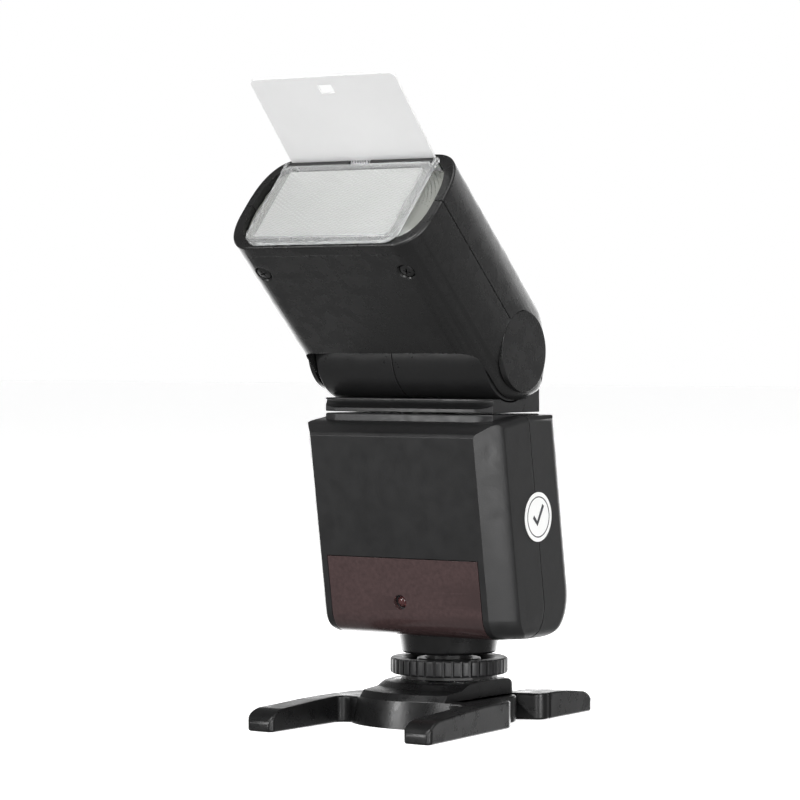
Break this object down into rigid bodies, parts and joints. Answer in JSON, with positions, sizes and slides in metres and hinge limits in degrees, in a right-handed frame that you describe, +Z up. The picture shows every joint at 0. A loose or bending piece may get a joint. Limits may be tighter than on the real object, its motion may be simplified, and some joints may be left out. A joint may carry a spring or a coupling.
{
  "type": "speedlight flash",
  "caption": "Compact camera flash with a tilting, turning head, bounce card and flip-down wide panel, standing in the cold shoe of a four-legged mini stand.",
  "frame": {"origin": "middle of the footprint of the whole object, on the surface it stands on", "axes": "+Z up, -Y the way the head points, +X to the right seen from the front"},
  "size_m": [0.0622, 0.1006, 0.1687],
  "materials": {
    "body_shell": "fine matt grain",
    "head_shell": "fine matt grain",
    "neck_shell": "satin",
    "stand_plastic": "satin",
    "inner_plastic": "smooth",
    "rubber": "soft matt",
    "red_window": "gloss, smoked red",
    "clear_plastic": "clear, prismatic",
    "display_glass": "gloss",
    "card_white": "translucent white",
    "steel": "bright",
    "blackened_steel": "blackened",
    "brass": "bright",
    "mirror": "polished",
    "board": "solder mask",
    "cell_wrap": "plastic sleeve",
    "label": "paper"
  },
  "bodies": {
    "stand": {"stand_base": "stand_plastic", "cold_shoe": "steel", "tripod_insert": "brass"},
    "flash_body": {"body_front_shell": "body_shell", "body_rear_shell": "body_shell", "signal_window": "red_window", "sensor_lens": "clear_plastic", "foot_collar": "stand_plastic", "hot_shoe_foot": "blackened_steel", "contact_block": "inner_plastic", "lock_plate": "blackened_steel", "main_board": "board", "flash_capacitor": "cell_wrap", "battery_cell_1": "cell_wrap", "battery_cell_2": "cell_wrap", "battery_contact": "steel", "lcd_window": "display_glass", "lcd_module": "steel", "data_socket": "steel", "inspection_sticker": "label"},
    "lock_ring": {"lock_ring": "stand_plastic"},
    "lock_pin": {"lock_pin": "steel"},
    "battery_door": {"battery_door": "body_shell", "door_contact": "steel"},
    "port_cover": {"port_cover": "rubber"},
    "select_dial": {"select_dial": "rubber"},
    "set_button": {"set_button": "rubber"},
    "test_button": {"test_button": "rubber"},
    "power_switch": {"power_switch": "rubber"},
    "button_upper_left": {"button_upper_left": "rubber"},
    "button_upper_right": {"button_upper_right": "rubber"},
    "button_lower_left": {"button_lower_left": "rubber"},
    "button_lower_right": {"button_lower_right": "rubber"},
    "neck": {"neck_base": "neck_shell", "neck_half_left": "neck_shell", "neck_half_right": "neck_shell", "tilt_axle_left": "steel", "tilt_axle_right": "steel", "tilt_detent": "steel", "pan_retainer": "steel"},
    "head": {"head_bottom_shell": "head_shell", "head_top_shell": "head_shell", "fresnel_lens": "clear_plastic", "tilt_cap_left": "head_shell", "tilt_cap_right": "head_shell", "head_screw_left": "blackened_steel", "head_screw_right": "blackened_steel", "zoom_guide_rod": "steel", "zoom_motor": "steel", "panel_slider": "blackened_steel", "panel_pin_left": "blackened_steel", "panel_pin_right": "blackened_steel", "panel_spring": "steel"},
    "zoom_carriage": {"zoom_carriage": "inner_plastic", "reflector": "mirror", "flash_tube": "clear_plastic"},
    "zoom_screw": {"zoom_screw": "steel"},
    "bounce_card": {"bounce_card": "card_white"},
    "wide_panel": {"wide_panel": "clear_plastic"}
  },
  "joints": [
    {"name": "shoe_slide", "type": "slide", "parent": "stand", "child": "flash_body", "axis": [0, 1, 0], "range_m": [0, 0.018]},
    {"name": "lock_ring_turn", "type": "hinge", "parent": "flash_body", "child": "lock_ring", "pos_m": [0, 0.01063, 0.0148], "axis": [0, 0, 1], "range_deg": [0, 60]},
    {"name": "lock_pin_lift", "type": "slide", "parent": "flash_body", "child": "lock_pin", "axis": [0, 0, 1], "range_m": [0, 0.001]},
    {"name": "battery_door_hinge", "type": "hinge", "parent": "flash_body", "child": "battery_door", "pos_m": [-0.031, 0.00064, 0.0293], "axis": [0, -0.9877, -0.1564], "range_deg": [0, 100]},
    {"name": "port_cover_hinge", "type": "hinge", "parent": "flash_body", "child": "port_cover", "pos_m": [-0.03095, 0.01177, 0.04787], "axis": [0, -0.1564, 0.9877], "range_deg": [0, 110]},
    {"name": "select_dial_turn", "type": "hinge", "parent": "flash_body", "child": "select_dial", "pos_m": [0, 0.02204, 0.04929], "axis": [0, 0.9877, 0.1564], "continuous": true},
    {"name": "set_button_press", "type": "slide", "parent": "flash_body", "child": "set_button", "axis": [0, -0.9877, -0.1564], "range_m": [0, 0.0006], "stiffness_N_per_m": 500, "springref_m": -0.0006},
    {"name": "test_button_press", "type": "slide", "parent": "flash_body", "child": "test_button", "axis": [0, -0.9877, -0.1564], "range_m": [0, 0.0006], "stiffness_N_per_m": 500, "springref_m": -0.0006},
    {"name": "power_switch_slide", "type": "slide", "parent": "flash_body", "child": "power_switch", "axis": [1, 0, 0], "range_m": [0, 0.004]},
    {"name": "button_upper_left_press", "type": "slide", "parent": "flash_body", "child": "button_upper_left", "axis": [0, -0.9877, -0.1564], "range_m": [0, 0.0006], "stiffness_N_per_m": 500, "springref_m": -0.0006},
    {"name": "button_upper_right_press", "type": "slide", "parent": "flash_body", "child": "button_upper_right", "axis": [0, -0.9877, -0.1564], "range_m": [0, 0.0006], "stiffness_N_per_m": 500, "springref_m": -0.0006},
    {"name": "button_lower_left_press", "type": "slide", "parent": "flash_body", "child": "button_lower_left", "axis": [0, -0.9877, -0.1564], "range_m": [0, 0.0006], "stiffness_N_per_m": 500, "springref_m": -0.0006},
    {"name": "button_lower_right_press", "type": "slide", "parent": "flash_body", "child": "button_lower_right", "axis": [0, -0.9877, -0.1564], "range_m": [0, 0.0006], "stiffness_N_per_m": 500, "springref_m": -0.0006},
    {"name": "neck_pan", "type": "hinge", "parent": "flash_body", "child": "neck", "pos_m": [0, 0.00143, 0.0827], "axis": [0, 0, 1], "range_deg": [-90, 180]},
    {"name": "head_tilt", "type": "hinge", "parent": "neck", "child": "head", "pos_m": [0, -0.00057, 0.0987], "axis": [-1, 0, 0], "range_deg": [-43, 47]},
    {"name": "zoom_slide", "type": "slide", "parent": "head", "child": "zoom_carriage", "axis": [0, -0.7314, 0.682], "range_m": [-0.008, 0.006]},
    {"name": "zoom_screw_turn", "type": "hinge", "parent": "head", "child": "zoom_screw", "pos_m": [-0.024, -0.03208, 0.11769], "axis": [0, -0.7314, 0.682], "range_deg": [-1500, 1200]},
    {"name": "card_slide", "type": "slide", "parent": "head", "child": "bounce_card", "axis": [0, -0.6782, 0.7349], "range_m": [-0.024, 0]},
    {"name": "panel_flip", "type": "hinge", "parent": "head", "child": "wide_panel", "pos_m": [0, -0.03035, 0.14719], "axis": [-1, 0, 0], "range_deg": [0, 90]}
  ],
  "couplings": [
    {"joint": "lock_pin_lift", "follows": "lock_ring_turn", "m_per_rad": 0.00090718},
    {"joint": "zoom_screw_turn", "follows": "zoom_slide", "rad_per_m": 3141.6}
  ]
}
